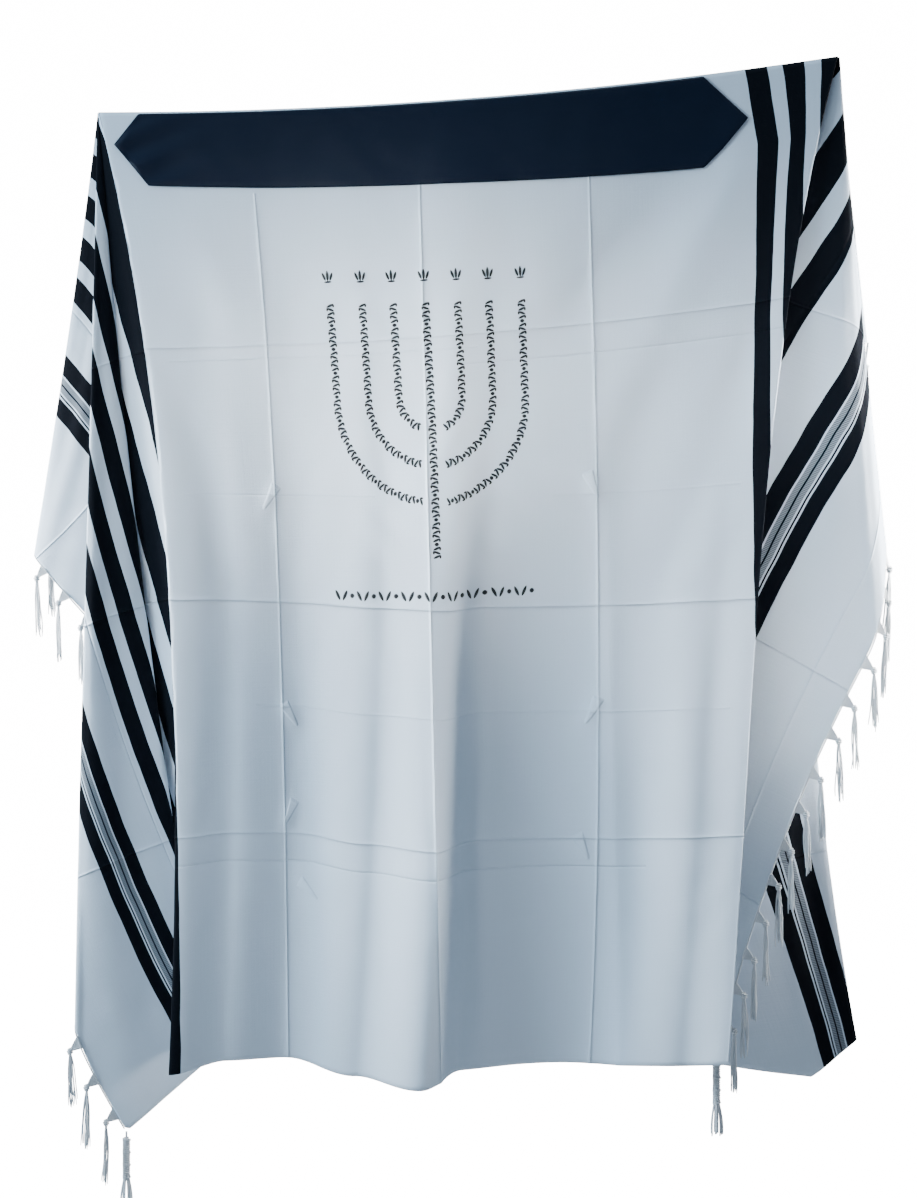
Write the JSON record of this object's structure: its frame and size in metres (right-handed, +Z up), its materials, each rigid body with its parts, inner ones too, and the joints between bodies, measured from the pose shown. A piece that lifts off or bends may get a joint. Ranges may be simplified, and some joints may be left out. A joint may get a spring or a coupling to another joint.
{
  "type": "tallit prayer shawl",
  "caption": "Striped fringed prayer shawl hung by its top edge from hand grips, with a dark neck band, deep folds outside each grip and wound corner tassels.",
  "frame": {"origin": "the right-hand grip at the front of the shawl, where a hand pinches the top edge", "axes": "+Z up, -Y towards the viewer, +X to the viewer's right, along the top edge from the left grip to the right grip"},
  "size_m": [1.2191, 0.2357, 1.6313],
  "materials": {
    "wool_cloth": "fine plain-weave wool, bluish white with woven black stripes",
    "satin_band": "dark navy satin twill",
    "fringe_yarn": "soft white twisted wool yarn"
  },
  "bodies": {
    "root": {"centre_panel": "wool_cloth", "neck_band": "satin_band", "left_near_fall": "wool_cloth", "left_far_fall": "wool_cloth", "left_tail_fall": "wool_cloth", "right_inner_fall": "wool_cloth", "right_turned_fall": "wool_cloth", "right_near_fall": "wool_cloth", "right_tail_fall": "wool_cloth", "left_fringe_1": "fringe_yarn", "left_fringe_2": "fringe_yarn", "left_fringe_3": "fringe_yarn", "left_fringe_4": "fringe_yarn", "left_fringe_5": "fringe_yarn", "right_fringe_1": "fringe_yarn", "right_fringe_2": "fringe_yarn", "right_fringe_3": "fringe_yarn", "left_bottom_tassel": "fringe_yarn", "left_top_tassel": "fringe_yarn", "right_bottom_tassel": "fringe_yarn", "right_top_tassel": "fringe_yarn"}
  },
  "joints": []
}
